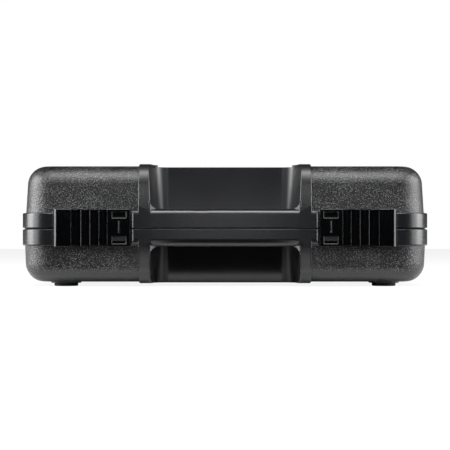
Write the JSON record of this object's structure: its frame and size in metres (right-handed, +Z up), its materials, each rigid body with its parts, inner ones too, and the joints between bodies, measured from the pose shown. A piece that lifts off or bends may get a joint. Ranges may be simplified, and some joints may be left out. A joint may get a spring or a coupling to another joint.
{
  "type": "pedalboard case",
  "caption": "Moulded carry case with a half-and-half handle bar, slide latches, rear hinges, rubber feet and pocketed foam for compact pedals.",
  "frame": {"origin": "bottom centre of the closed case's bounding box, on the surface that the rubber feet stand on", "axes": "+X along the width to the right as seen from the handle, +Y from the handle to the hinges, +Z up"},
  "size_m": [0.393, 0.27, 0.1179],
  "materials": {
    "shell_plastic": "satin",
    "latch_plastic": "gloss",
    "rubber": "matte",
    "steel": "satin",
    "foam": "matte",
    "grip_tape": "matte"
  },
  "bodies": {
    "base": {"base_shell": "shell_plastic", "hinge_pin_left": "steel", "hinge_pin_right": "steel", "foot_front_left": "rubber", "foot_front_right": "rubber", "foot_rear_left": "rubber", "foot_rear_right": "rubber", "foot_screws": "steel", "base_floor_pad": "foam", "pedal_grip_strips": "grip_tape", "foam_front_strip": "foam", "foam_front_block_left": "foam", "foam_front_block_right": "foam", "foam_side_block_left": "foam", "foam_side_block_right": "foam", "foam_divider_1": "foam", "foam_divider_2": "foam", "foam_rear_block": "foam"},
    "lid": {"lid_shell": "shell_plastic", "lid_foam_pad": "foam"},
    "latch_left": {"latch_slider_left": "latch_plastic"},
    "latch_right": {"latch_slider_right": "latch_plastic"}
  },
  "joints": [
    {"name": "lid_hinge", "type": "hinge", "parent": "base", "child": "lid", "pos_m": [0, 0.13, 0.0556], "axis": [-1, 0, 0], "range_deg": [0, 165]},
    {"name": "latch_left_slide", "type": "slide", "parent": "base", "child": "latch_left", "axis": [-1, 0, 0], "range_m": [0, 0.01]},
    {"name": "latch_right_slide", "type": "slide", "parent": "base", "child": "latch_right", "axis": [1, 0, 0], "range_m": [0, 0.01]}
  ]
}
